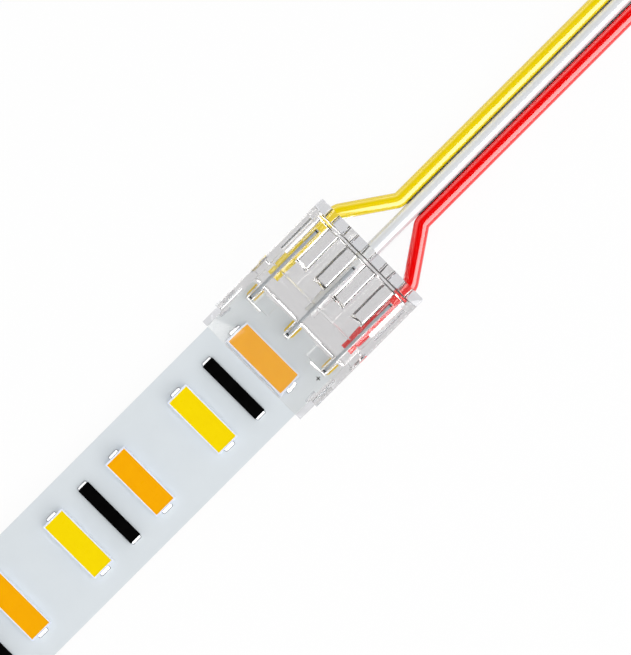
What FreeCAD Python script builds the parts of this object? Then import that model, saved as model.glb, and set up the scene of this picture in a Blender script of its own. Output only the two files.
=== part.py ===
"""Solderless connector for a 10 mm LED strip, closed on a cut strip and three leads. Millimetres.

A clear tray holds the strip end at the front and five wire channels at the rear. A clear cover
snaps onto it and carries three contact blades, which pierce the strip's pads and the leads.
+X runs from the strip to the leads, +Y is the side of the yellow lead, +Z is up, and the origin
is the centre of the connector's underside. Lengths along the connector are counted from its
front edge, where the strip goes in, and at() turns them into X.
"""

import FreeCAD, Part
import math
import os

# The strip: a flexible board with a white mask, on adhesive tape.
STRIP_W = 10.0
STRIP_IN = 5.2          # how far the strip reaches into the connector
UNIT_L = 14.2           # one cutting unit of the strip
UNITS = 3
TAPE_T = 0.15
BOARD_T = 0.2
PAD_L = 1.2
PAD_W = 0.88
PAD_T = 0.035
PAD_CORNER = 0.3
PAD_EDGE = 0.8          # middle of an outer pad to the strip's edge
LAMP_SPACING = 3.55     # lamp to resistor, and resistor to lamp
LAMP_INSET = 3.69       # end of the unit to its first lamp
LAMP_L = 2.17
LAMP_W = 5.96
LAMP_H = 0.8
LAMP_CORNER = 0.12
GLOW_L = 1.94           # the lit window of a lamp
GLOW_W = 5.66
GLOW_DEPTH = 0.35
GLOW_DROP = 0.03        # the filling lies this far below the lamp's rim
FOOT_L = 0.99           # soldered end of a lamp
FOOT_REACH = 0.27
FOOT_H = 0.45
RESISTOR_L = 1.09
RESISTOR_W = 6.0
RESISTOR_H = 0.5
CAP_L = 0.95
CAP_REACH = 0.24
CAP_H = 0.42

# The leads: stranded wire in a round plastic sleeve.
WIRE_D = 1.3
CHANNELS = 5
LEAD_CHANNELS = {"yellow": 2, "white": 0, "red": -2}
WIRE_FIT = 0.03         # gap round a wire in its channel
WIRE_INSET = 0.81       # end of the stop's ramp to the wires' inner ends
GROOVE_FLOOR = 0.22     # plastic left under a channel, above the floor

# The tray.
FLOOR_T = 0.8
WALL_T = 0.725
STRIP_FIT = 0.06        # gap between the strip's edge and the wall
END_FIT = 0.05          # gap between the strip's end and the stop
WALL_TOP = 3.05
ARM_L = 1.66            # the low front arms beside the strip
ARM_RECESS = 0.2
ARM_TIP = 0.9           # height of an arm's tip above the floor
TAB_L = 1.0             # tab that holds the strip's edge down
TAB_FRONT = 1.45
TAB_REACH = 0.4
TAB_T = 0.35
TAB_FIT = 0.1
STOP_T = 0.22
STOP_RAMP = 0.33
LOW_L = 1.5             # length of the sunken floor behind the stop
LOW_DROP = 0.02
BED_RAMP = 0.37
BED_OPEN = 1.03         # bed before the ribs
RIB_H = 0.35            # above the wires' axis, so that each channel grips its wire
RIB_L = 3.75
RIB_RAMP = 0.2
POST_T = 0.88
POST_NECK_W = 0.92      # slot between two rear posts
CORNER_R = 0.15
BASE_EDGE = 0.08        # broken edge round the underside
GRIP_DEPTH = 0.12       # shallow finger recess behind each latch
GRIP_Z0 = 0.7
GRIP_Z1 = 2.5
GRIP_REAR_GAP = 0.4
GRIP_REAR_L = 1.7
SCOOP_FRONT = 2.36      # slanted nail scoop ahead of each latch
SCOOP_L = 1.34
SCOOP_DEPTH = 0.38
SCOOP_TOP = 0.1         # below the wall's top
SCOOP_H = 0.7
SCOOP_TAIL = 0.9

# The cover.
SEAM = 0.05             # between the tray's walls and the cover
COVER_T = 0.9
COVER_EDGE = 0.12       # chamfer along the tops of the long sides
COVER_UNDER = 0.06      # and along their undersides
NOSE_FIT = 0.04
BAR_W = 0.43            # strain-relief bar across the wires
BAR_FIT = 0.045
PRESS_GAP = 0.05        # bar, fingers and the guide ribs' fronts above the wires
BAR_BEVEL = 0.13
FINGER_FIT = 0.03
FINGER_SIDE = 0.15      # steep bevel under each side of a rear finger
FINGER_SIDE_H = 0.26
GUIDE_GAP = 0.86        # between the guide ribs, over each channel
BEVEL_RISE = 0.96       # rise of the bevels under the cover, for each millimetre along
GUIDE_FIT = 0.05        # guide ribs above the tray's ribs
GUIDE_SIDE = 0.18       # steep bevel under each side of a guide rib
GUIDE_SIDE_H = 0.31
GUIDE_FRONT = 0.33      # sloping lead-in at its front
GUIDE_OUT = 0.04        # outer guide ribs to the tray's walls
RELIEF_DEPTH = 0.125    # shallow relief under the cover, over the wires' ends
RELIEF_REACH = 0.15     # past the bed's ramp
RELIEF_INSET = 0.05     # to the tray's walls
LIP_W = 0.28            # locating lips of the cover, in rabbets along the walls' tops
LIP_H = 0.3
LIP_FIT = 0.03
LIP_SIDE = 0.15
LIP_FRONT = 1.8
LIP_FRONT_L = 2.4
FOOT_W = 1.5            # press feet on the strip, inside the outer pads
FOOT_PAD_GAP = 0.035
STRIP_PRESS_FIT = 0.02
COLLAR_W = 0.16         # collar round each blade's front end, with a sloping bottom
COLLAR_H = 0.1
COLLAR_FIT = 0.03
COLLAR_WING = 1.0       # an outer collar's front reaches this far towards the middle
WINDOW_FRONT_W = 0.42   # windows over the ends of each blade
WINDOW_REAR_W = 0.47
WINDOW_FRONT_L = 1.5
WINDOW_REAR_L = 1.46
WINDOW_REACH = 0.1
WINDOW_BEVEL = 0.04

# The latches and locating pegs, on both sides.
LATCH_SET_BACK = 0.43   # stop to latch pocket
LATCH_L = 1.71
LATCH_SKIN = 0.3
LATCH_T = 0.42
LATCH_FIT = 0.035
LATCH_SIDE_FIT = 0.1
LATCH_FOOT_FIT = 0.05
LATCH_END_R = 0.6       # hollow of a leg's two ends
LATCH_END_DEPTH = 0.08
LATCH_DRAFT = 0.1       # a leg is this much shorter at the tip, at each end
LATCH_FOOT_EDGE = 0.09  # broken edge under each end of a leg
HOOK_REACH = 0.2
HOOK_T = 0.4
HOOK_RISE = 0.12
WINDOW_LOW = 0.1        # the latch window starts this far above the floor
WINDOW_TOP = 0.18       # plastic left above it
WINDOW_ROUND = 0.14     # rounding of the wall beside it
PEG_L = 0.78
PEG_W = 0.3
PEG_H = 0.6
PEG_FIT = 0.04
PEG_SKIN = 0.28

# The contact blades: pressed sheet, two points in the strip and two in the wire.
BLADE_T = 0.28
BLADE_FIT = 0.02
BLADE_SKIN = 0.25       # cover left above the blade
BLADE_GAP = 0.2         # between the blade and the wire below it
STOP_GAP = 0.25         # between the blade and the stop below it
BLADE_LEAD = 0.04       # blade's front end ahead of the pads
BLADE_REAR = 0.65       # blade's rear end to the bar's slot
TINE_W = 0.4
TINE_GAP = 0.3
TINE_INSET = 0.09
TINE_POINT = 0.25
TINE_DEPTH = 0.45       # into the tray's floor
PIERCE_W = 0.36
PIERCE_GAP = 0.42
PIERCE_INSET = 0.15
PIERCE_DEPTH = 0.5      # below the wires' axis
SLIT_FIT = 0.03
NOTCH_W = 0.12
NOTCH_DEPTH = 0.15
NOTCH_STEP = 0.22

# The leads' free length: straight and side by side, then a flat hank held by a tie.
LEAD_PITCH = 1.31
FAN_L = 4.3             # the outer leads close in on the middle one over this length
KINK_R = 1.3
KINK_OUT = 0.2          # first kink, behind the connector's rear face
KINK_DROP = 0.25        # the leads come down this much by the second kink
WHITE_OUT = 2.1         # the middle lead turns down this far behind the rear face
LANDING_X = 24.3        # where the leads are level
TIE_T = 0.15
TIE_W = 3.0
TIE_X = 57.0
HANK_X = 37.5
HANK_NECK = 29.6        # hank's face to the middle of its bend
HANK_NECK_W = 8.1
HANK_BEND_R = 7.2

# Places along the connector, counted from its front edge.
u_stop = STRIP_IN + END_FIT
u_stop_top = u_stop + STOP_T
u_low = u_stop_top + STOP_RAMP
u_bed = u_low + LOW_L
u_bed_top = u_bed + BED_RAMP
u_rib = u_bed_top + BED_OPEN
u_rib_top = u_rib + RIB_RAMP
u_slot = u_rib + RIB_L
u_post = u_slot + BAR_W + 2 * BAR_FIT
CONN_L = u_post + POST_T
u_latch = u_stop + LATCH_SET_BACK
u_blade = STRIP_IN - PAD_L - BLADE_LEAD
u_blade_end = u_slot - BLADE_REAR

# Heights and half widths.
strip_z = FLOOR_T
board_z = strip_z + TAPE_T
strip_top = board_z + BOARD_T
bore_r = WIRE_D / 2 + WIRE_FIT
wire_z = FLOOR_T + GROOVE_FLOOR + bore_r
wire_top = wire_z + WIRE_D / 2
press_z = wire_top + PRESS_GAP
rib_top = wire_z + RIB_H
low_z = wire_z - bore_r - LOW_DROP
blade_z = wire_top + BLADE_GAP
stop_z = blade_z - STOP_GAP
cover_z = WALL_TOP + SEAM
top_z = cover_z + COVER_T
blade_top = top_z - BLADE_SKIN
in_y = STRIP_W / 2 + STRIP_FIT
out_y = in_y + WALL_T
pitch = (STRIP_W - 2 * PAD_EDGE) / (CHANNELS - 1)
tine_tip = FLOOR_T - TINE_DEPTH
pierce_tip = wire_z - PIERCE_DEPTH
lead_z = WIRE_D / 2 + TIE_T
channel_ys = [pitch * (i - (CHANNELS - 1) / 2) for i in range(CHANNELS)]
lead_ys = {name: pitch * channel for name, channel in LEAD_CHANNELS.items()}


def at(u):
    """X of a place that lies u behind the connector's front edge."""
    return u - CONN_L / 2


def slab(u0, u1, y0, y1, z0, z1):
    """Straight block between two corners."""
    return Part.makeBox(u1 - u0, y1 - y0, z1 - z0, FreeCAD.Vector(at(u0), y0, z0))


def side_profile(points, y0, y1):
    """Solid of one outline of (u, z) points, seen from the side, from y0 to y1."""
    corners = [FreeCAD.Vector(at(u), y0, z) for u, z in points]
    face = Part.Face(Part.makePolygon(corners + corners[:1]))
    return face.extrude(FreeCAD.Vector(0, y1 - y0, 0))


def end_profile(points, u0, u1):
    """Solid of one outline of (y, z) points, seen from the end, from u0 to u1."""
    corners = [FreeCAD.Vector(at(u0), y, z) for y, z in points]
    face = Part.Face(Part.makePolygon(corners + corners[:1]))
    return face.extrude(FreeCAD.Vector(u1 - u0, 0, 0))


def plan_profile(points, z0, z1):
    """Solid of one outline of (u, y) points, seen from above, from z0 to z1."""
    corners = [FreeCAD.Vector(at(u), y, z0) for u, y in points]
    face = Part.Face(Part.makePolygon(corners + corners[:1]))
    return face.extrude(FreeCAD.Vector(0, 0, z1 - z0))


def both_sides(solid):
    """The solid and its mirror image across the middle line."""
    return [solid, solid.mirror(FreeCAD.Vector(0, 0, 0), FreeCAD.Vector(0, 1, 0))]


def upright_edges(solid, xs):
    """Vertical edges that stand at one of the given X."""
    found = []
    for edge in solid.Edges:
        low, high = edge.BoundBox.ZMin, edge.BoundBox.ZMax
        wide = edge.BoundBox.XLength + edge.BoundBox.YLength
        near = min(abs(edge.BoundBox.XMin - x) for x in xs)
        if high - low > 0.1 and wide < 1e-4 and near < 1e-3:
            found.append(edge)
    return found


def save(solid, name):
    """Write one piece to its own file."""
    solid.exportStep(os.path.join("parts", name + ".step"))


def tray_outline():
    """Full-height block of the tray's plan: recessed front arms and rounded rear corners."""
    arm_y = out_y - ARM_RECESS
    plan = [(0, -arm_y), (ARM_L, -arm_y), (ARM_L, -out_y), (CONN_L, -out_y),
            (CONN_L, out_y), (ARM_L, out_y), (ARM_L, arm_y), (0, arm_y)]
    block = plan_profile(plan, 0, top_z)
    block = block.makeFillet(CORNER_R, upright_edges(block, [at(CONN_L)]))
    return block.makeChamfer(BASE_EDGE, [edge for edge in block.Edges if edge.BoundBox.ZMax < 1e-4])


def tray_section():
    """Side outline of floor, strip stop, bed, ribs, bar slot and rear posts."""
    return [(0, 0), (CONN_L, 0), (CONN_L, top_z), (u_post, top_z), (u_post, wire_z),
            (u_slot, wire_z), (u_slot, rib_top), (u_rib_top, rib_top), (u_rib, rib_top - RIB_RAMP),
            (u_rib, wire_z), (u_bed_top, wire_z), (u_bed, low_z), (u_low, low_z),
            (u_stop_top, stop_z), (u_stop, stop_z), (u_stop, FLOOR_T), (0, FLOOR_T)]


def channel_cut(y):
    """Round bore, open along the tops of the ribs, with a slot above it between the posts."""
    bore = Part.makeCylinder(bore_r, CONN_L - u_low, FreeCAD.Vector(at(u_low), y, wire_z),
                             FreeCAD.Vector(1, 0, 0))
    half = POST_NECK_W / 2
    slot = slab(u_post - BAR_FIT, CONN_L, y - half, y + half, wire_z, top_z)
    return [bore, slot]


def latch_pocket():
    """Pocket beside the bed for one latch leg, and the window in the wall for its hook. The
    wall is rounded beside the window, so the window widens inwards and outwards."""
    u0, u1 = u_latch, u_latch + LATCH_L
    skin_y = out_y - LATCH_SKIN
    pocket_y = skin_y - LATCH_T - 2 * LATCH_FIT
    z0, z1 = FLOOR_T + WINDOW_LOW, WALL_TOP - WINDOW_TOP
    pocket = slab(u0, u1, pocket_y, skin_y, FLOOR_T, WALL_TOP)
    window = slab(u0 - WINDOW_ROUND, u1 + WINDOW_ROUND, skin_y, out_y, z0, z1)
    for u in (u0 - WINDOW_ROUND, u1 + WINDOW_ROUND):
        jamb = Part.makeCylinder(LATCH_SKIN / 2, z1 - z0, FreeCAD.Vector(at(u), out_y - LATCH_SKIN / 2, z0))
        window = window.cut(jamb)
    return [pocket, window]


def peg_place(fit):
    """Block of one locating peg, or of its socket when a gap is given."""
    u1 = u_slot + BAR_W
    y1 = out_y - PEG_SKIN
    return slab(u1 - PEG_L - fit, u1 + fit, y1 - PEG_W - fit, y1 + fit,
                WALL_TOP - PEG_H - fit, cover_z)


def grip_recesses():
    """Slanted nail scoop and shallow finger recess on one side wall."""
    rear = u_latch + LATCH_L + GRIP_REAR_GAP
    recess = slab(rear, rear + GRIP_REAR_L, out_y - GRIP_DEPTH, out_y, GRIP_Z0, GRIP_Z1)
    top = WALL_TOP - SCOOP_TOP
    scoop = end_profile([(out_y, top), (out_y - SCOOP_DEPTH, top - SCOOP_H),
                         (out_y, top - SCOOP_H - SCOOP_TAIL)], SCOOP_FRONT, SCOOP_FRONT + SCOOP_L)
    return [recess, scoop]


def lip_spans():
    """Start and end of the cover's two locating lips on each side."""
    return [(LIP_FRONT, LIP_FRONT + LIP_FRONT_L), (u_rib, u_slot + BAR_W - PEG_L - 2 * LIP_FIT)]


def lip(u0, u1, fit):
    """Block of one locating lip on the +Y side, or of its rabbet when a gap is given."""
    y0, y1 = in_y - NOSE_FIT, in_y + LIP_W + fit
    z0 = cover_z - LIP_H - fit
    section = [(y0, cover_z), (y0, z0), (y1 - LIP_SIDE, z0), (y1, z0 + 2 * LIP_SIDE), (y1, cover_z)]
    return end_profile(section, u0 - fit, u1 + fit)


def tine_spans():
    """Start and end of the two points that go into the strip."""
    first = u_blade + TINE_INSET
    second = first + TINE_W + TINE_GAP
    return [(first, first + TINE_W), (second, second + TINE_W)]


def pierce_spans():
    """Start and end of the two points that go into the wire."""
    last = u_blade_end - PIERCE_INSET
    other = last - PIERCE_W - PIERCE_GAP
    return [(other - PIERCE_W, other), (last - PIERCE_W, last)]


def slit_cut(spans, y, z0, z1):
    """Slits round a blade's points, a fit wider than the sheet."""
    half = BLADE_T / 2 + SLIT_FIT
    return [slab(u0 - SLIT_FIT, u1 + SLIT_FIT, y - half, y + half, z0, z1) for u0, u1 in spans]


def make_tray():
    """Clear tray: one moulding, with the strip's seat in front and the wire channels behind."""
    bed = side_profile(tray_section(), -out_y, out_y)
    wall = slab(ARM_L, u_post, in_y, out_y, 0, WALL_TOP)
    arm = side_profile([(0, 0), (ARM_L, 0), (ARM_L, WALL_TOP), (0, FLOOR_T + ARM_TIP)], in_y, out_y)
    tab_z = strip_top + TAB_FIT
    tab = end_profile([(in_y, tab_z), (in_y, tab_z + TAB_T + TAB_REACH), (in_y - TAB_REACH, tab_z + TAB_T),
                       (in_y - TAB_REACH, tab_z)], TAB_FRONT, TAB_FRONT + TAB_L)
    added = both_sides(wall) + both_sides(arm) + both_sides(tab)
    tray = bed.fuse(added).common(tray_outline()).removeSplitter()
    cuts = []
    for y in channel_ys:
        cuts += channel_cut(y)
    rabbets = [lip(u0, u1, LIP_FIT) for u0, u1 in lip_spans()]
    for cut in latch_pocket() + grip_recesses() + rabbets + [peg_place(PEG_FIT)]:
        cuts += both_sides(cut)
    for y in lead_ys.values():
        cuts += slit_cut(tine_spans(), y, tine_tip - SLIT_FIT, FLOOR_T)
    return tray.cut(cuts).removeSplitter()


def cover_plate():
    """Flat of the cover: a nose between the front arms, and full width behind them."""
    nose_y = in_y - NOSE_FIT
    step = ARM_L + SEAM
    back = u_slot + BAR_FIT + BAR_W
    plan = [(0, -nose_y), (step, -nose_y), (step, -out_y), (back, -out_y),
            (back, out_y), (step, out_y), (step, nose_y), (0, nose_y)]
    plate = plan_profile(plan, cover_z, top_z)
    for z, size in ((top_z, COVER_EDGE), (cover_z, COVER_UNDER)):
        sides = [edge for edge in plate.Edges
                 if edge.BoundBox.XLength > (back - step) / 2 and abs(edge.BoundBox.ZMin - z) < 1e-3
                 and edge.BoundBox.ZLength < 1e-3 and abs(edge.BoundBox.Center.y) > nose_y + 1e-3]
        plate = plate.makeChamfer(size, sides)
    return plate


def press_foot():
    """Foot that presses the strip down between two pads."""
    y1 = max(lead_ys.values()) - PAD_W / 2 - FOOT_PAD_GAP
    return slab(STRIP_IN - PAD_L, STRIP_IN, y1 - FOOT_W, y1, strip_top + STRIP_PRESS_FIT, cover_z)


def blade_collar(y):
    """Low collar under the cover, in front of a blade and along both sides of its front end. Its
    bottom slopes up towards the blade, and an outer one has a wing that leads the strip in."""
    u0, u1 = u_blade - BLADE_FIT - COLLAR_W, u_stop_top
    y_in = BLADE_T / 2 + COLLAR_FIT
    y_out = y_in + COLLAR_W
    high = cover_z - COLLAR_H
    low = high - COLLAR_W * BEVEL_RISE
    front = side_profile([(u0, cover_z), (u0, low), (u0 + COLLAR_W, high), (u0 + COLLAR_W, cover_z)],
                         y - y_out - (COLLAR_WING if y > 0 else 0),
                         y + y_out + (COLLAR_WING if y < 0 else 0))
    pieces = [front]
    for side in (-1, 1):
        section = [(y + side * y_in, cover_z), (y + side * y_in, high), (y + side * y_out, low),
                   (y + side * y_out, cover_z)]
        pieces.append(end_profile(section, u0, u1))
    return pieces


def latch_leg():
    """Springy leg whose hook sits in the wall's window, at its lower end. Its two ends are
    hollow and drafted, so that the leg bends at its root."""
    y1 = out_y - LATCH_SKIN - LATCH_FIT
    y0 = y1 - LATCH_T
    z0 = FLOOR_T + LATCH_FOOT_FIT
    z1 = z0 + HOOK_RISE
    hook_y = y1 + LATCH_FIT + HOOK_REACH
    outline = [(y0, cover_z), (y0, z0), (y1, z0), (y1, z1), (hook_y, z1 + HOOK_T / 2),
               (hook_y, z1 + HOOK_T), (y1, z1 + HOOK_T), (y1, cover_z)]
    u0, u1 = u_latch + LATCH_SIDE_FIT, u_latch + LATCH_L - LATCH_SIDE_FIT
    leg = end_profile(outline, u0, u1)
    away = LATCH_END_R - LATCH_END_DEPTH
    for u in (u0 - away, u1 + away):
        leg = leg.cut(Part.makeCone(LATCH_END_R + LATCH_DRAFT, LATCH_END_R, cover_z - z0,
                                    FreeCAD.Vector(at(u), (y0 + y1) / 2, z0)))
    ends = [edge for edge in leg.Edges
            if edge.BoundBox.ZMax < z0 + 1e-3 and edge.BoundBox.YLength > LATCH_T - 1e-3]
    return leg.makeChamfer(LATCH_FOOT_EDGE, ends)


def window_cut(u0, u1, y, width):
    """Opening through the cover, with a bevelled rim on top."""
    y0, y1 = y - width / 2, y + width / 2
    bevel = WINDOW_BEVEL
    low = top_z - bevel
    hole = slab(u0, u1, y0, y1, cover_z, top_z)
    across = end_profile([(y0, low), (y1, low), (y1 + bevel, top_z), (y0 - bevel, top_z)],
                         u0 - bevel, u1 + bevel)
    along = side_profile([(u0, low), (u1, low), (u1 + bevel, top_z), (u0 - bevel, top_z)],
                         y0 - bevel, y1 + bevel)
    return [hole, across.common(along)]


def blade_seat(y):
    """Slot that grips one blade from below, open to the top in a window over each end."""
    half = BLADE_T / 2 + BLADE_FIT
    slot = slab(u_blade - BLADE_FIT, u_blade_end + BLADE_FIT, y - half, y + half,
                blade_z, blade_top + BLADE_FIT)
    front = u_blade - WINDOW_REACH
    rear = u_blade_end + BLADE_FIT
    return ([slot] + window_cut(front, front + WINDOW_FRONT_L, y, WINDOW_FRONT_W)
            + window_cut(rear - WINDOW_REAR_L, rear, y, WINDOW_REAR_W))


def guide_rib(y0, y1):
    """Rib under the cover between two channels, bevelled along both sides. Its front stops above
    the wires and slopes up behind, so that a lead pushed in slides under it."""
    z0 = rib_top + GUIDE_FIT
    end = u_slot + BAR_FIT
    section = [(y0, cover_z), (y0, z0 + GUIDE_SIDE_H), (y0 + GUIDE_SIDE, z0),
               (y1 - GUIDE_SIDE, z0), (y1, z0 + GUIDE_SIDE_H), (y1, cover_z)]
    behind = u_rib + GUIDE_FRONT
    side = [(u_rib, cover_z), (u_rib, press_z), (behind, press_z + GUIDE_FRONT), (behind, z0),
            (end, z0), (end, cover_z)]
    return end_profile(section, u_rib, end).common(side_profile(side, y0, y1))


def guide_ribs():
    """One guide rib between each two channels, and a narrow one with a sloping bottom outside
    each outer channel."""
    half = GUIDE_GAP / 2
    ribs = [guide_rib(y + half, y + pitch - half) for y in channel_ys[:-1]]
    y0, y1 = channel_ys[-1] + half, in_y - GUIDE_OUT
    outer = end_profile([(y0, cover_z), (y0, press_z + (y1 - y0) * BEVEL_RISE), (y1, press_z),
                         (y1, cover_z)], u_rib, u_slot + BAR_FIT)
    return ribs + both_sides(outer)


def rear_finger(y):
    """Finger of the cover between two rear posts, bevelled steeply under both sides."""
    half = POST_NECK_W / 2 - FINGER_FIT
    side_z = press_z + FINGER_SIDE_H
    section = [(y - half, top_z), (y - half, side_z), (y - half + FINGER_SIDE, press_z),
               (y + half - FINGER_SIDE, press_z), (y + half, side_z), (y + half, top_z)]
    return end_profile(section, u_slot + BAR_FIT + BAR_W, CONN_L)


def relief():
    """Shallow relief in the cover's underside, with bevelled ends, over the wires' inner ends."""
    u0, u1 = u_stop_top, u_bed + RELIEF_REACH
    top = cover_z + RELIEF_DEPTH
    run = RELIEF_DEPTH / BEVEL_RISE
    half = in_y - RELIEF_INSET
    return side_profile([(u0, cover_z), (u0 + run, top), (u1 - run, top), (u1, cover_z)], -half, half)


def make_cover():
    """Clear cover: plate, press feet, blade collars, latch legs, pegs, ribs, bar and rear fingers."""
    u0 = u_slot + BAR_FIT
    u1 = u0 + BAR_W
    bevel_z = press_z + BAR_BEVEL
    bar_y = in_y - NOSE_FIT
    bar = side_profile([(u0, cover_z), (u0, bevel_z), (u0 + BAR_BEVEL, press_z),
                        (u1 - BAR_BEVEL, press_z), (u1, bevel_z), (u1, cover_z)], -bar_y, bar_y)
    added = [bar] + guide_ribs() + [rear_finger(y) for y in channel_ys]
    for y in lead_ys.values():
        added += blade_collar(y)
    lips = [lip(u_front, u_rear, 0) for u_front, u_rear in lip_spans()]
    for solid in [press_foot(), latch_leg(), peg_place(0)] + lips:
        added += both_sides(solid)
    cover = cover_plate().fuse(added).removeSplitter()
    cuts = [relief()]
    for y in lead_ys.values():
        cuts += blade_seat(y)
    return cover.cut(cuts).removeSplitter()


def make_blade(y):
    """Contact blade: a bar with two points for the strip in front and two for the wire behind."""
    outline = [(u_blade, blade_top), (u_blade, blade_z)]
    for spans, tip in ((tine_spans(), tine_tip), (pierce_spans(), pierce_tip)):
        for u0, u1 in spans:
            shoulder = tip + TINE_POINT
            outline += [(u0, blade_z), (u0, shoulder), ((u0 + u1) / 2, tip), (u1, shoulder),
                        (u1, blade_z)]
    outline += [(u_blade_end, blade_z), (u_blade_end, blade_top)]
    blade = side_profile(outline, y - BLADE_T / 2, y + BLADE_T / 2)
    firsts = [u_blade + NOTCH_W, u_blade + NOTCH_W + NOTCH_STEP, u_blade_end - 2 * NOTCH_W]
    notches = [slab(u, u + NOTCH_W, y - BLADE_T / 2, y + BLADE_T / 2, blade_top - NOTCH_DEPTH,
                    blade_top) for u in firsts]
    return blade.cut(notches)


def make_strip_layer(z0, z1):
    """One layer of the strip, slit where the blades' points go through."""
    layer = slab(STRIP_IN - UNITS * UNIT_L, STRIP_IN, -STRIP_W / 2, STRIP_W / 2, z0, z1)
    cuts = []
    for y in lead_ys.values():
        cuts += slit_cut(tine_spans(), y, z0, z1)
    return layer.cut(cuts)


def make_pads():
    """Three gold pads at the strip's end, rounded towards the strip."""
    pads = []
    for y in lead_ys.values():
        pad = slab(STRIP_IN - PAD_L, STRIP_IN, y - PAD_W / 2, y + PAD_W / 2,
                   strip_top, strip_top + PAD_T)
        edges = [edge for edge in pad.Edges
                 if edge.BoundBox.ZLength > PAD_T / 2 and edge.BoundBox.XMax < at(STRIP_IN) - 1e-3]
        pad = pad.makeFillet(PAD_CORNER, edges)
        pads.append(pad.cut(slit_cut(tine_spans(), y, strip_top, strip_top + PAD_T)))
    return Part.makeCompound(pads)


def lamp_places():
    """Middle of each lamp along the strip, two to a unit."""
    places = []
    for unit in range(UNITS):
        first = STRIP_IN - LAMP_INSET - unit * UNIT_L
        places += [first, first - 2 * LAMP_SPACING]
    return places


def make_lamp_frame(u):
    """White lamp housing: an open tray for the phosphor, with rounded corners."""
    x0, x1 = u - LAMP_L / 2, u + LAMP_L / 2
    frame = slab(x0, x1, -LAMP_W / 2, LAMP_W / 2, strip_top, strip_top + LAMP_H)
    frame = frame.makeFillet(LAMP_CORNER, upright_edges(frame, [at(x0), at(x1)]))
    pocket = slab(u - GLOW_L / 2, u + GLOW_L / 2, -GLOW_W / 2, GLOW_W / 2,
                  strip_top + LAMP_H - GLOW_DEPTH, strip_top + LAMP_H)
    return frame.cut(pocket)


def make_lamp_glow(u):
    """Phosphor that fills the lamp's pocket almost to the rim."""
    top = strip_top + LAMP_H
    return slab(u - GLOW_L / 2, u + GLOW_L / 2, -GLOW_W / 2, GLOW_W / 2, top - GLOW_DEPTH,
                top - GLOW_DROP)


def make_solder_ends():
    """Soldered ends of the lamps and resistors, a pair to each."""
    ends = []
    parts = [(u, FOOT_L, LAMP_W / 2, FOOT_REACH, FOOT_H) for u in lamp_places()]
    parts += [(u, CAP_L, RESISTOR_W / 2, CAP_REACH, CAP_H) for u in resistor_places()]
    for u, length, y0, reach, height in parts:
        rise = height / 2
        end = end_profile([(y0, strip_top), (y0 + reach, strip_top), (y0 + reach, strip_top + rise),
                           (y0, strip_top + height)], u - length / 2, u + length / 2)
        ends += both_sides(end)
    return Part.makeCompound(ends)


def resistor_places():
    """Middle of each resistor along the strip, one to a unit."""
    return [STRIP_IN - LAMP_INSET - LAMP_SPACING - unit * UNIT_L for unit in range(UNITS)]


def make_resistor(u):
    """Black bar resistor with eased top edges."""
    bar = slab(u - RESISTOR_L / 2, u + RESISTOR_L / 2, -RESISTOR_W / 2, RESISTOR_W / 2,
               strip_top, strip_top + RESISTOR_H)
    rim = [edge for edge in bar.Edges if edge.BoundBox.ZMin > strip_top + RESISTOR_H - 1e-4]
    return bar.makeChamfer(RESISTOR_H / 8, rim)


def route(points, kinks):
    """Path of straight runs joined by tangent arcs. A kink has its own tight radius."""
    edges = []
    start = points[0]
    radii = []
    for index in range(1, len(points) - 1):
        before, here, after = points[index - 1], points[index], points[index + 1]
        run_in, run_out = here - before, after - here
        turn = run_in.getAngle(run_out)
        reach = 0.45 * min(run_in.Length, run_out.Length)
        if index in kinks:
            reach = KINK_R * math.tan(turn / 2)
        radii.append(reach / math.tan(turn / 2))
        run_in.normalize()
        run_out.normalize()
        arc_start, arc_end = here - run_in * reach, here + run_out * reach
        inward = run_out - run_in
        inward.normalize()
        centre = here + inward * (radii[-1] / math.cos(turn / 2))
        middle = centre - inward * radii[-1]
        edges.append(Part.LineSegment(start, arc_start).toShape())
        edges.append(Part.Arc(arc_start, middle, arc_end).toShape())
        start = arc_end
    edges.append(Part.LineSegment(start, points[-1]).toShape())
    print("arc radii:", [round(radius, 1) for radius in radii])
    return Part.Wire(edges)


def make_lead(points, kinks, y):
    """Sleeved wire along its route, slit where a blade pierces it."""
    path = route(points, kinks)
    ring = Part.Wire(Part.makeCircle(WIRE_D / 2, points[0], FreeCAD.Vector(1, 0, 0)))
    lead = path.makePipeShell([ring], True, False)
    expected = math.pi * WIRE_D ** 2 / 4 * path.Length
    print("lead length %.2f, volume over section times length %.4f"
          % (path.Length, lead.Volume / expected))
    return lead.cut(slit_cut(pierce_spans(), y, pierce_tip - SLIT_FIT, wire_top + SLIT_FIT))


def lead_points(name):
    """Route of one lead from its inner end to the hank: out of its channel, in beside the
    middle lead at a sharp kink, and straight on along the floor."""
    y = lead_ys[name]
    beside = LEAD_PITCH * LEAD_CHANNELS[name] / 2
    inner = at(u_low + WIRE_INSET)
    rear = at(CONN_L)
    if y == 0:
        places = [(inner, 0, wire_z), (rear + WHITE_OUT, 0, wire_z), (LANDING_X, 0, lead_z),
                  (HANK_X, 0, lead_z)]
    else:
        places = [(inner, y, wire_z), (rear + KINK_OUT, y, wire_z),
                  (rear + FAN_L, beside, wire_z - KINK_DROP), (LANDING_X, beside, lead_z),
                  (HANK_X, beside, lead_z)]
    return [FreeCAD.Vector(*place) for place in places]


def make_hank():
    """Outer shape of the folded leads: a flat neck of six runs and their round bend."""
    neck = Part.makeBox(HANK_NECK, HANK_NECK_W, WIRE_D,
                        FreeCAD.Vector(HANK_X, -HANK_NECK_W / 2, TIE_T))
    bend = Part.makeCylinder(HANK_BEND_R, WIRE_D, FreeCAD.Vector(HANK_X + HANK_NECK, 0, TIE_T))
    return neck.fuse(bend).removeSplitter()


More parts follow.
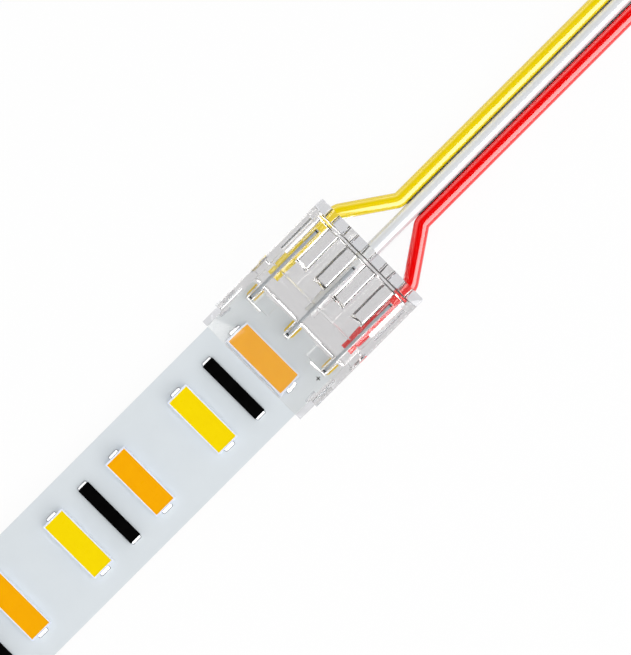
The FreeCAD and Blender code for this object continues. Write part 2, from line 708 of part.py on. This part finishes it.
def make_tie():
    """Flat tie round the neck of the hank."""
    x0 = TIE_X - TIE_W / 2
    outer = Part.makeBox(TIE_W, HANK_NECK_W + 2 * TIE_T, WIRE_D + 2 * TIE_T,
                         FreeCAD.Vector(x0, -HANK_NECK_W / 2 - TIE_T, 0))
    long_edges = [edge for edge in outer.Edges if edge.BoundBox.XLength > TIE_W / 2]
    outer = outer.makeFillet(TIE_T, long_edges)
    inner = Part.makeBox(TIE_W, HANK_NECK_W, WIRE_D, FreeCAD.Vector(x0, -HANK_NECK_W / 2, TIE_T))
    return outer.cut(inner)


os.makedirs("parts", exist_ok=True)
save(make_tray(), "base_tray")
save(make_cover(), "cover")
for name, y in lead_ys.items():
    save(make_blade(y), "contact_blade_" + name)
    save(make_lead(lead_points(name), (1, 2) if y else (), y), name + "_lead")
save(make_strip_layer(strip_z, board_z), "strip_tape")
save(make_strip_layer(board_z, strip_top), "strip_board")
save(make_pads(), "strip_pads")
save(make_solder_ends(), "solder_ends")
for number, u in enumerate(lamp_places(), 1):
    save(make_lamp_frame(u), "lamp_frame_%d" % number)
    save(make_lamp_glow(u), "lamp_glow_%d" % number)
for number, u in enumerate(resistor_places(), 1):
    save(make_resistor(u), "resistor_%d" % number)
save(make_hank(), "lead_hank")
save(make_tie(), "lead_tie")
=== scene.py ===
"""Looks of a clear snap connector closed on an LED strip and three coloured leads."""
import math

import bmesh
import bpy
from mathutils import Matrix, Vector


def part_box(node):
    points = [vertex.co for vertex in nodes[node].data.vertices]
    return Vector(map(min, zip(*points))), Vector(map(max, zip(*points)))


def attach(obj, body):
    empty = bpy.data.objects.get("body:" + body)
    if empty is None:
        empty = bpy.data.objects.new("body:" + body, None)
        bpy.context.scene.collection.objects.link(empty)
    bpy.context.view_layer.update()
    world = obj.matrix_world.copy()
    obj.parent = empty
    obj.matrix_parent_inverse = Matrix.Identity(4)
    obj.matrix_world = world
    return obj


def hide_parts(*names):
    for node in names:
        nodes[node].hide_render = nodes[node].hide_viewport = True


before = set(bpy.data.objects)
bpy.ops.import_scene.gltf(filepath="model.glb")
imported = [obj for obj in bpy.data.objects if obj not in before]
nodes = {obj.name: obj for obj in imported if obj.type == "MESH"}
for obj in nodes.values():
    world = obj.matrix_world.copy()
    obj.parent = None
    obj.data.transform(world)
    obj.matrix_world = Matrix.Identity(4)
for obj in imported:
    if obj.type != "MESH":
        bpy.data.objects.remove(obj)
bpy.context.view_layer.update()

# View and light
# The part lies on white studio paper and is seen straight from above, turned by an eighth of a
# turn. A long softbox stands on the red lead's side and another hangs overhead. Gloss and clear
# plastic show only the studio's own glow, which draws the leads' streaks and the white lines.
MM = 0.001                              # sizes are in millimetres unless they say otherwise
FRAME_W, FRAME_H = 631, 655
PX_PER_MM = 12.4
CONNECTOR_PX = Vector((312.1, 309.9))   # middle of the connector in the photograph
TURN = math.radians(-45)
CAMERA_UP = 600 * MM
SCALE_Z = 2.5 * MM                      # height at which the photograph's scale holds
SENSOR_H = 24
right = Vector((math.cos(TURN), math.sin(TURN), 0))
upward = Vector((-math.sin(TURN), math.cos(TURN), 0))
off_x = (FRAME_W / 2 - CONNECTOR_PX.x) / PX_PER_MM * MM
off_y = (CONNECTOR_PX.y - FRAME_H / 2) / PX_PER_MM * MM
aim = right * off_x + upward * off_y
lens = bpy.data.cameras.new("top_camera")
lens.sensor_fit = "VERTICAL"
lens.sensor_height = SENSOR_H
lens.lens = SENSOR_H * CAMERA_UP / (FRAME_H / PX_PER_MM * MM)
lens.clip_start, lens.clip_end = 10 * MM, 5000 * MM
camera = bpy.data.objects.new("top_camera", lens)
camera.location = aim + Vector((0, 0, CAMERA_UP + SCALE_Z))
camera.rotation_euler = (0, 0, TURN)
bpy.context.scene.collection.objects.link(camera)
bpy.context.scene.camera = camera
bpy.context.scene.view_settings.view_transform = "Standard"


def add_node(tree, kind, **values):
    """Node of one kind, with its own properties set, or its inputs where they are named so."""
    node = tree.nodes.new("ShaderNode" + kind)
    for key, value in values.items():
        if hasattr(node, key):
            setattr(node, key, value)
        else:
            node.inputs[key.replace("_", " ")].default_value = value
    return node


def reckon(tree, operation, *values):
    """Result of one sum over other nodes' outputs and plain numbers."""
    node = add_node(tree, "Math", operation=operation)
    for entry, value in zip(node.inputs, values):
        if isinstance(value, bpy.types.NodeSocket):
            tree.links.new(value, entry)
        else:
            entry.default_value = value
    return node.outputs[0]


def graded(tree, value, start, end, first, last, curve="SMOOTHSTEP"):
    """One amount up to the start, another from the end on, and a gradual change between."""
    node = add_node(tree, "MapRange", interpolation_type=curve,
                    From_Min=start, From_Max=end, To_Min=first, To_Max=last)
    tree.links.new(value, node.inputs["Value"])
    return node.outputs["Result"]


# Each glow starts and ends at a height or a side, as a share of straight up or of straight
# towards the yellow lead's side, and has a strength before and after.
DOME_GLOW = (0.45, 0.8, 0.84, 0.016)    # all round, and dim overhead
RIM_HEIGHT = (0.08, 0.14, 1.0, 0.0)     # low round the paper's edge, seen through the plastic
RIM_GLOW = (-0.2, 0.5, 11.2, 3.2)
STREAK_HEIGHT = (0.14, 0.24, 0.0, 1.0)  # on the red lead's side, seen in gloss
STREAK_GLOW = (-0.36, -0.28, 5.0, 0.0)
LINE_MIDDLE, LINE_HALF = 0.24, 0.11     # a fainter band on the yellow lead's side
LINE_GLOW = (0.3, 0.4, 0.0, 1.9)
world = bpy.data.worlds.new("studio")
world.use_nodes = True
bpy.context.scene.world = world
sky = world.node_tree
sky.nodes.clear()
direction = add_node(sky, "SeparateXYZ")
sky.links.new(add_node(sky, "TexCoord").outputs["Generated"], direction.inputs[0])
sideways, height = direction.outputs["Y"], direction.outputs["Z"]
ray = add_node(sky, "LightPath").outputs
dome = graded(sky, height, *DOME_GLOW)
rim = reckon(sky, "MULTIPLY", graded(sky, height, *RIM_HEIGHT), graded(sky, sideways, *RIM_GLOW))
streak = reckon(sky, "MULTIPLY", graded(sky, height, *STREAK_HEIGHT),
                graded(sky, sideways, *STREAK_GLOW))
line = reckon(sky, "MULTIPLY", reckon(sky, "COMPARE", height, LINE_MIDDLE, LINE_HALF),
              graded(sky, sideways, *LINE_GLOW, curve="LINEAR"))
through_plastic = reckon(sky, "MULTIPLY", rim, ray["Is Transmission Ray"])
in_gloss = reckon(sky, "MULTIPLY", reckon(sky, "ADD", streak, line), ray["Is Glossy Ray"])
studio = reckon(sky, "ADD", dome, reckon(sky, "ADD", through_plastic, in_gloss))
white_to_camera = add_node(sky, "Mix", data_type="FLOAT", B=1.0)
glow = add_node(sky, "Background", Color=(1, 1, 1, 1))
sky.links.new(studio, white_to_camera.inputs["A"])
sky.links.new(ray["Is Camera Ray"], white_to_camera.inputs["Factor"])
sky.links.new(white_to_camera.outputs["Result"], glow.inputs["Strength"])
sky.links.new(glow.outputs[0], add_node(sky, "OutputWorld").inputs[0])


def soft_light(name, place, width, depth, watts):
    """Rectangular softbox that faces the connector and is seen in no gloss and no plastic."""
    lamp = bpy.data.lights.new(name, "AREA")
    lamp.shape = "RECTANGLE"
    lamp.size, lamp.size_y = width * MM, depth * MM
    lamp.energy = watts
    holder = bpy.data.objects.new(name, lamp)
    holder.visible_glossy = holder.visible_transmission = False
    holder.location = Vector(place) * MM
    holder.rotation_euler = (-holder.location).to_track_quat("-Z", "Y").to_euler()
    bpy.context.scene.collection.objects.link(holder)


soft_light("long_softbox", (10, -230, 250), width=400, depth=260, watts=0.42)
soft_light("top_softbox", (0, 20, 420), width=300, depth=300, watts=0.89)


def new_material(name):
    """Node material with its tree and its Principled shader."""
    material = bpy.data.materials.new(name)
    material.use_nodes = True
    return material, material.node_tree, material.node_tree.nodes["Principled BSDF"]


def two_surfaces(tree, share, first, second):
    """Surface that is the second shader where the share is one, and else the first."""
    mix = add_node(tree, "MixShader")
    tree.links.new(share, mix.inputs[0])
    tree.links.new(first.outputs[0], mix.inputs[1])
    tree.links.new(second.outputs[0], mix.inputs[2])
    tree.links.new(mix.outputs[0], tree.nodes["Material Output"].inputs["Surface"])


PAPER_R = 150
PAPER_DROP = 0.02       # clear of the tray's own underside
PAPER_TONE = (0.92, 0.92, 0.92, 1)
PAPER_ROUGH = 0.9
PAPER_GLOW = 0.94       # the rest of what is seen of the paper takes the part's shadow
bm = bmesh.new()
bmesh.ops.create_circle(bm, cap_ends=True, segments=64, radius=PAPER_R * MM)
floor_mesh = bpy.data.meshes.new("floor")
bm.to_mesh(floor_mesh)
bm.free()
floor = bpy.data.objects.new("floor", floor_mesh)
floor.location.z = -PAPER_DROP * MM
bpy.context.scene.collection.objects.link(floor)
floor_paper, tree, shader = new_material("floor_paper")
shader.inputs["Base Color"].default_value = PAPER_TONE
shader.inputs["Roughness"].default_value = PAPER_ROUGH
ray = add_node(tree, "LightPath").outputs
seen = reckon(tree, "MAXIMUM", ray["Is Camera Ray"], ray["Is Glossy Ray"])
seen = reckon(tree, "MAXIMUM", seen, ray["Is Transmission Ray"])
two_surfaces(tree, reckon(tree, "MULTIPLY", seen, PAPER_GLOW), shader,
             add_node(tree, "Emission", Strength=1.0))
floor_mesh.materials.append(floor_paper)

# Strip
# A flexible board under a satin white solder mask, on adhesive tape with its paper liner, cut
# square at both ends. Its bare pads are plated with gold, for solder or for a blade's points.
GLOSS_GRAIN = 2.3       # how much finer than the colour the gloss varies
RELIEF_GRAIN = 6        # and the relief


def new_group(name, takes, gives):
    """Node group with named inputs and outputs: the group, what it takes, what it gives."""
    group = bpy.data.node_groups.new(name, "ShaderNodeTree")
    for label in takes:
        group.interface.new_socket(label, in_out="INPUT", socket_type="NodeSocketFloat")
    for label in gives:
        group.interface.new_socket(label, in_out="OUTPUT", socket_type="NodeSocketFloat")
    taken = group.nodes.new("NodeGroupInput").outputs
    given = group.nodes.new("NodeGroupOutput").inputs
    return group, taken, given


# soft noise over the piece, of one size, spread between two values
mottle, taken, given = new_group("mottle", ("Scale", "Detail", "Low", "High"), ("Value",))
noise = add_node(mottle, "TexNoise", Roughness=0.6)
spread = add_node(mottle, "MapRange", From_Min=0.3, From_Max=0.7)
mottle.links.new(add_node(mottle, "TexCoord").outputs["Object"], noise.inputs["Vector"])
mottle.links.new(taken["Scale"], noise.inputs["Scale"])
mottle.links.new(taken["Detail"], noise.inputs["Detail"])
mottle.links.new(noise.outputs["Fac"], spread.inputs["Value"])
mottle.links.new(taken["Low"], spread.inputs["To Min"])
mottle.links.new(taken["High"], spread.inputs["To Max"])
mottle.links.new(spread.outputs["Result"], given["Value"])


def mottled(tree, scale, low, high, detail=4.0):
    """The mottle of one size and range, placed in a material."""
    return add_node(tree, "Group", node_tree=mottle,
                    Scale=scale, Detail=detail, Low=low, High=high).outputs["Value"]


def relieved(tree, shader, height, depth):
    """Give a surface its fine relief, of a depth in millimetres."""
    relief = add_node(tree, "Bump", Strength=1.0, Distance=depth * MM)
    tree.links.new(height, relief.inputs["Height"])
    tree.links.new(relief.outputs[0], shader.inputs["Normal"])


def finish(name, tone, second_tone, grain, rough, depth, metallic=0.0, specular=0.5):
    """Material whose colour drifts between two tones, with its own gloss range and relief.

    The grain is counted on a metre, and the relief's depth is in millimetres.
    """
    material, tree, shader = new_material(name)
    drift = add_node(tree, "Mix", data_type="RGBA")
    drift.inputs["A"].default_value = (*tone, 1)
    drift.inputs["B"].default_value = (*second_tone, 1)
    tree.links.new(mottled(tree, grain, 0, 1), drift.inputs["Factor"])
    tree.links.new(drift.outputs["Result"], shader.inputs["Base Color"])
    tree.links.new(mottled(tree, grain * GLOSS_GRAIN, *rough), shader.inputs["Roughness"])
    relieved(tree, shader, mottled(tree, grain * RELIEF_GRAIN, 0, 1), depth)
    shader.inputs["Metallic"].default_value = metallic
    shader.inputs["Specular IOR Level"].default_value = specular
    return material


def paint(node_name, material):
    """Give a piece of the frame its finish."""
    node = nodes[node_name]
    node.data.materials.clear()
    node.data.materials.append(material)


paint("strip_board", finish("white_mask", (0.70, 0.745, 0.775), (0.72, 0.765, 0.795),
                            grain=300, rough=(0.35, 0.5), depth=0.002))
paint("strip_tape", finish("liner_paper", (0.72, 0.66, 0.52), (0.66, 0.60, 0.47),
                           grain=700, rough=(0.6, 0.8), depth=0.004))
paint("strip_pads", finish("pad_gold", (1.0, 0.70, 0.0), (0.97, 0.62, 0.0),
                           grain=900, rough=(0.3, 0.45), depth=0.002))

# Lamps
# White moulded housings that stand across the strip, each with a well filled with phosphor in
# silicone, orange and yellow by turns. They are soldered down at their two ends.
LAMPS = 6
MERGE = 2e-7                            # metres between the doubled points of a solid
FLAT = math.radians(0.5)                # faces that turn less are one face
ROUND = (0.01, math.radians(28))        # edges that turn so much belong to a rounding
CREASE = math.radians(40)               # a sharper edge is shaded sharp
WIDEST_FACET = 1.2 * MM * MM            # a wider face is flat, and is not shaded round
EDGE_ROOM = 2.2                         # widths of free length that a softened edge needs


def softened(node_name, new_name, material, edge_width, segments):
    """Copy of a solid with its sharp edges rounded, as moulding or tumbling leaves them."""
    width = edge_width * MM
    bm = bmesh.new()
    bm.from_mesh(nodes[node_name].data)
    bmesh.ops.remove_doubles(bm, verts=bm.verts, dist=MERGE)
    bmesh.ops.dissolve_limit(bm, angle_limit=FLAT, verts=bm.verts, edges=bm.edges)
    least, most = ROUND
    for face in bm.faces:
        turns = [edge.calc_face_angle() for edge in face.edges if len(edge.link_faces) == 2]
        face.smooth = face.calc_area() < WIDEST_FACET and any(
            least < turn < most for turn in turns)
    sharp = [edge for edge in bm.edges
             if len(edge.link_faces) == 2 and edge.calc_face_angle() > most]
    room = {edge: min(other.calc_length() for end in edge.verts for other in end.link_edges)
            for edge in sharp}
    roomy = [edge for edge in sharp if room[edge] > EDGE_ROOM * width]
    bmesh.ops.triangulate(bm, faces=[face for face in bm.faces if len(face.verts) > 4])
    bmesh.ops.bevel(bm, geom=roomy, offset=width, offset_type="OFFSET", segments=segments,
                    profile=0.5, affect="EDGES", clamp_overlap=False, material=-1)
    mesh = bpy.data.meshes.new(new_name)
    bm.to_mesh(mesh)
    bm.free()
    mesh.materials.clear()
    mesh.materials.append(material)
    mesh.set_sharp_from_angle(angle=CREASE)
    return bpy.data.objects.new(new_name, mesh)


def fit(piece, body, slot_name, *replaced):
    """Put a finished piece in the scene, on its body, in place of the frame's own solids."""
    bpy.context.scene.collection.objects.link(piece)
    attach(piece, body)
    if replaced:
        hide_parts(*replaced)


housing = finish("lamp_housing", (0.78, 0.83, 0.95), (0.82, 0.86, 0.95),
                 grain=500, rough=(0.3, 0.45), depth=0.002)
orange = finish("orange_phosphor", (0.96, 0.43, 0.0), (0.94, 0.405, 0.0),
                grain=1200, rough=(0.25, 0.4), depth=0.001, specular=0.12)
yellow = finish("yellow_phosphor", (0.96, 0.72, 0.0), (0.94, 0.69, 0.0),
                grain=1200, rough=(0.25, 0.4), depth=0.001, specular=0.12)
for number in range(1, LAMPS + 1):
    node_name = "lamp_frame_%d" % number
    lamp = softened(node_name, "lamp_housing_%d" % number, housing, edge_width=0.02, segments=2)
    fit(lamp, "base_body", "white_lamp_housing", node_name)
    paint("lamp_glow_%d" % number, orange if number % 2 else yellow)

# Resistors
# Long black bars of coated ceramic, one for each pair of lamps. They lie across the strip and
# are soldered down at their two ends.
RESISTORS = 3
black = finish("resistor_black", (0.001, 0.001, 0.001), (0.003, 0.003, 0.003),
               grain=900, rough=(0.4, 0.55), depth=0.003, specular=0.0)
for number in range(1, RESISTORS + 1):
    node_name = "resistor_%d" % number
    bar = softened(node_name, "resistor_bar_%d" % number, black, edge_width=0.03, segments=2)
    fit(bar, "base_body", "black_resistor", node_name)

# Printed plus
# A small plus in black ink on the strip's white mask marks the positive pad. It is one even
# film of ink, a hundredth of a millimetre thick.
PLUS_AT = (-3.54, -4.24)    # beside the pad under the red lead's blade
PLUS_HALF = 0.2
PLUS_CELLS = 5              # squares across the plus, of which each stroke is one wide
PLUS_INK = 0.01
bm = bmesh.new()
bmesh.ops.create_grid(bm, x_segments=PLUS_CELLS, y_segments=PLUS_CELLS, size=PLUS_HALF * MM)
half_stroke = PLUS_HALF * MM / PLUS_CELLS
middles = {face: face.calc_center_median() for face in bm.faces}
corners = [face for face, at in middles.items() if min(abs(at.x), abs(at.y)) > half_stroke]
bmesh.ops.delete(bm, geom=corners, context="FACES")
inked = bmesh.ops.extrude_face_region(bm, geom=bm.faces[:])
risen = [part for part in inked["geom"] if isinstance(part, bmesh.types.BMVert)]
bmesh.ops.translate(bm, verts=risen, vec=(0, 0, PLUS_INK * MM))
strip_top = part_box("strip_board")[1][2]
bmesh.ops.translate(bm, verts=bm.verts, vec=(PLUS_AT[0] * MM, PLUS_AT[1] * MM, strip_top))
bmesh.ops.recalc_face_normals(bm, faces=bm.faces)
plus_mesh = bpy.data.meshes.new("printed_plus")
bm.to_mesh(plus_mesh)
bm.free()
plus_mesh.materials.append(black)
fit(bpy.data.objects.new("printed_plus", plus_mesh), "base_body", "black_resistor")

# Solder
# Bright fillets at both ends of every lamp and resistor, which hold them to the board. They
# are melted on, so they are rounded all over, and painted shade darkens them where they turn
# away.
# painted shade on the solder's rim, darker as it turns away from the view
SOLDER_RIM_SHADE = (0.2, 0.55, 0.0, 1.0)  # from how far to how far it turns away, and how dark it gets
SOLDER_SHADE = (0.05, 0.055, 0.065)


def with_painted_shade(material, share, tone):
    """Lay painted shade, a dark tone, over a finish where the share is one."""
    tree = material.node_tree
    shader = tree.nodes["Principled BSDF"]
    shade = add_node(tree, "Mix", data_type="RGBA")
    shade.inputs["B"].default_value = (*tone, 1)
    tree.links.new(shader.inputs["Base Color"].links[0].from_socket, shade.inputs["A"])
    tree.links.new(share, shade.inputs["Factor"])
    tree.links.new(shade.outputs["Result"], shader.inputs["Base Color"])


solder = finish("bright_solder", (0.90, 0.91, 0.92), (0.84, 0.85, 0.87),
                grain=1500, rough=(0.14, 0.24), depth=0.003, metallic=0.9)
# painted shade where the fillets turn away from the view
steep = add_node(solder.node_tree, "LayerWeight", Blend=0.5).outputs["Facing"]
with_painted_shade(solder, graded(solder.node_tree, steep, *SOLDER_RIM_SHADE, curve="LINEAR"), SOLDER_SHADE)
fillets = softened("solder_ends", "solder_fillets", solder, edge_width=0.08, segments=4)
fit(fillets, "base_body", "solder", "solder_ends")

# Clear tray and cover
# Two polycarbonate mouldings, polished and slightly grey in the thickness. The cover hooks
# into the tray's latch windows and holds the blades. The edges are rounded by a few
# hundredths, which draws the fine bright and dark lines.
PLASTIC_IOR = 1.5
SHADOW_CLEAR = (0.995, 0.995, 0.995, 1)
HAZE_GRAIN, HAZE = 150, (0.006, 0.02)
FLOW_GRAIN, FLOW_DEPTH = 260, 0.001     # faint waves that the mould's flow leaves


def clear_plastic(name, tint, clear):
    """Clear moulding with a faint haze: light passes it, and its shadow stays light."""
    material, tree, shader = new_material(name)
    shader.inputs["Base Color"].default_value = (*tint, 1)
    shader.inputs["Transmission Weight"].default_value = clear
    shader.inputs["IOR"].default_value = PLASTIC_IOR
    tree.links.new(mottled(tree, HAZE_GRAIN, *HAZE), shader.inputs["Roughness"])
    relieved(tree, shader, mottled(tree, FLOW_GRAIN, 0, 1, detail=1.0), FLOW_DEPTH)
    ray = add_node(tree, "LightPath").outputs
    two_surfaces(tree, reckon(tree, "MAXIMUM", ray["Is Shadow Ray"], ray["Is Diffuse Ray"]),
                 shader, add_node(tree, "BsdfTransparent", Color=SHADOW_CLEAR))
    return material


tray_plastic = clear_plastic("clear_tray", tint=(0.725, 0.73, 0.755), clear=0.99)
cover_plastic = clear_plastic("clear_cover", tint=(0.995, 0.98, 0.96), clear=0.975)
tray = softened("base_tray", "clear_tray_shell", tray_plastic, edge_width=0.02, segments=3)
fit(tray, "base_body", "clear_tray_plastic", "base_tray")
cover = softened("cover", "clear_cover_shell", cover_plastic, edge_width=0.014, segments=3)
fit(cover, "cover_body", "clear_cover_plastic", "cover")

# Contact blades
# Three blades pressed from tinned sheet and held in the cover. Each has two points in the
# strip's pad and two in its lead, and a notch at each end of its top edge, its floor painted
# with shade.
NOTCH_SHADE_X = ((-2.81, 0.16), (4.70, 0.15))     # middle and half length of each notch's painted shade
NOTCH_SHADE_Z = (3.56, 0.08)                      # and of both in height, at the notches' floor
# tone of the painted shade in the notches, near black
NOTCH_SHADE = (0.004, 0.003, 0.003)


def within(tree, value, middle, half):
    """One where a value lies within half a length of its middle, in millimetres."""
    return reckon(tree, "COMPARE", value, middle * MM, half * MM)


tin = finish("tinned_sheet", (0.37, 0.395, 0.425), (0.34, 0.365, 0.395),
             grain=600, rough=(0.35, 0.5), depth=0.002, metallic=0.3)
tree = tin.node_tree
spot = add_node(tree, "SeparateXYZ")
tree.links.new(add_node(tree, "TexCoord").outputs["Object"], spot.inputs[0])
front, rear = (within(tree, spot.outputs["X"], *shade_span) for shade_span in NOTCH_SHADE_X)
notch_floor = within(tree, spot.outputs["Z"], *NOTCH_SHADE_Z)
# painted shade on the notches' floors
notch_shaded = reckon(tree, "MULTIPLY", reckon(tree, "MAXIMUM", front, rear), notch_floor)
with_painted_shade(tin, notch_shaded, NOTCH_SHADE)
for colour in ("yellow", "white", "red"):
    node_name = "contact_blade_" + colour
    blade = softened(node_name, "pressed_blade_" + colour, tin, edge_width=0.015, segments=2)
    fit(blade, "cover_body", "tinned_blade_metal", node_name)

# Leads
# Three stranded wires in glossy soft sleeves. They leave side by side and kink inwards until
# they touch, with a line of painted shade between them. Their spare length lies in a flat tied
# hank.
WIRE_D = 1.3
WIRE_Z = 1.7            # axis inside the connector
LEVEL_Z = 0.8           # axis on the floor
TOUCH_X = 11.5          # the leads touch from here
TURN_X = 36.0           # to here
TOUCH_HALF = 0.065      # half the width of the painted shade line on each lead
# tone of the painted shade where the leads touch
TOUCH_SHADE = (0.004, 0.003, 0.002)
COAT_IOR, COAT_ROUGH = 1.79, 0.09

# painted shade line along a lead's two sides, of one width and length, and the gloss it leaves
touch, taken, given = new_group("painted_touch_shade", ("Side", "Half Width", "Middle", "Half Length"),
                                ("Line", "Gloss"))
spot = add_node(touch, "SeparateXYZ")
touch.links.new(add_node(touch, "TexCoord").outputs["Object"], spot.inputs[0])
side = reckon(touch, "COMPARE", reckon(touch, "ABSOLUTE", spot.outputs["Y"]),
              taken["Side"], taken["Half Width"])
along = reckon(touch, "COMPARE", spot.outputs["X"], taken["Middle"], taken["Half Length"])
touching = reckon(touch, "MULTIPLY", side, along)
touch.links.new(touching, given["Line"])
touch.links.new(reckon(touch, "SUBTRACT", 1.0, touching), given["Gloss"])


def sleeve(colour, tone, second_tone):
    """Glossy coloured sleeve, with painted shade, dark and dull, along the line where it touches
    the next.
    """
    material = finish(colour + "_sleeve", tone, second_tone,
                      grain=400, rough=(0.12, 0.16), depth=0.0002, specular=0.0)
    tree = material.node_tree
    shader = tree.nodes["Principled BSDF"]
    shader.inputs["Coat IOR"].default_value = COAT_IOR
    shader.inputs["Coat Roughness"].default_value = COAT_ROUGH
    line = add_node(tree, "Group", node_tree=touch,
                    Side=WIRE_D / 2 * MM, Half_Width=TOUCH_HALF * MM,
                    Middle=(TURN_X + TOUCH_X) / 2 * MM, Half_Length=(TURN_X - TOUCH_X) / 2 * MM)
    # painted shade, dark and dull, where each lead touches the next
    with_painted_shade(material, line.outputs["Line"], TOUCH_SHADE)
    tree.links.new(line.outputs["Gloss"], shader.inputs["Coat Weight"])
    return material


sleeves = {
    "yellow": sleeve("yellow", (0.95, 0.72, 0.0), (0.93, 0.69, 0.0)),
    "white": sleeve("white", (0.80, 0.825, 0.85), (0.78, 0.80, 0.83)),
    "red": sleeve("red", (0.95, 0.0, 0.0), (0.92, 0.0, 0.0)),
}
routes = {
    "yellow": [(-0.315, 4.2, WIRE_Z), (6.5, 4.2, WIRE_Z), (7.0, 4.2, WIRE_Z),
               (7.42, 3.92, 1.68), (10.81, 1.59, 1.46), (11.225, 1.31, 1.45),
               (11.75, 1.31, 1.42), (24.3, 1.31, LEVEL_Z), (33.0, 1.31, LEVEL_Z),
               (38.5, 1.31, LEVEL_Z), (42.5, -0.72, LEVEL_Z), (52.0, -0.72, LEVEL_Z)],
    "white": [(-0.315, 0, WIRE_Z), (9.025, 0, WIRE_Z), (24.3, 0, LEVEL_Z),
              (32.6, 0, LEVEL_Z), (38.2, 0, LEVEL_Z), (42.2, -2.03, LEVEL_Z),
              (52.0, -2.03, LEVEL_Z)],
    "red": [(-0.315, -4.2, WIRE_Z), (6.5, -4.2, WIRE_Z), (7.0, -4.2, WIRE_Z),
            (7.42, -3.92, 1.68), (10.81, -1.59, 1.46), (11.225, -1.31, 1.45),
            (11.75, -1.31, 1.42), (24.3, -1.31, LEVEL_Z), (32.2, -1.31, LEVEL_Z),
            (37.9, -1.31, LEVEL_Z), (41.9, -3.34, LEVEL_Z), (52.0, -3.34, LEVEL_Z)],
}
BEND_X = 67.1           # middle of the hank's round bends
BEND_LEAN = 60          # degrees by which the runs to and from a bend open out
BEND_TURN = 30          # degrees from one point of a bend to the next
BEND_POINTS = 8         # points of one bend
bend_radius = {"yellow": 3.9, "white": 5.2, "red": 6.5}
tail_x = {"yellow": 45.4, "white": 48.8, "red": 53.7}       # where each bare end lies


def hank_bend(radius, neck_y):
    """Round bend of the hank: out from the neck, round by two thirds of a turn, and back."""
    lean = math.radians(BEND_LEAN)
    opening = (radius * math.sin(lean) - neck_y) * math.tan(lean)
    corner = BEND_X - radius * math.cos(lean) - opening
    reach = radius / math.cos(math.radians(BEND_TURN / 2))
    first = -BEND_TURN * (BEND_POINTS - 1) / 2
    points = [(corner, -neck_y, LEVEL_Z)]
    for step in range(BEND_POINTS):
        angle = math.radians(first + BEND_TURN * step)
        points.append((BEND_X + reach * math.cos(angle), reach * math.sin(angle), LEVEL_Z))
    points.append((corner, neck_y, LEVEL_Z))
    return points


def smooth_cord(name, points, diameter, material):
    """Round cord of one diameter, whose smooth line follows the points of its route."""
    curve = bpy.data.curves.new(name, "CURVE")
    curve.dimensions = "3D"
    spline = curve.splines.new("NURBS")
    spline.points.add(len(points) - 1)
    for place, point in zip(spline.points, points):
        place.co = (*(Vector(point) * MM), 1)
    spline.order_u = 3
    spline.use_endpoint_u = True
    spline.resolution_u = 8
    curve.bevel_depth = diameter / 2 * MM
    curve.bevel_resolution = 8
    curve.use_fill_caps = True
    curve.materials.append(material)
    return bpy.data.objects.new(name, curve)


for colour, route in routes.items():
    neck_y = -route[-1][1]
    bend = hank_bend(bend_radius[colour], neck_y)
    points = route + bend + [(tail_x[colour], neck_y, LEVEL_Z)]
    lead = smooth_cord(colour + "_wire", points, WIRE_D, sleeves[colour])
    replaced = [colour + "_lead"] + (["lead_hank"] if colour == "white" else [])
    fit(lead, "base_body", colour + "_sleeve", *replaced)

# Tie
# A narrow band of natural nylon, drawn round the neck of the hank and closed on itself. It
# holds the three leads and their folded-back ends side by side.
nylon = finish("tie_nylon", (0.72, 0.72, 0.69), (0.68, 0.68, 0.65),
               grain=500, rough=(0.35, 0.5), depth=0.004)
band = softened("lead_tie", "hank_band", nylon, edge_width=0.03, segments=2)
fit(band, "base_body", "nylon_tie", "lead_tie")
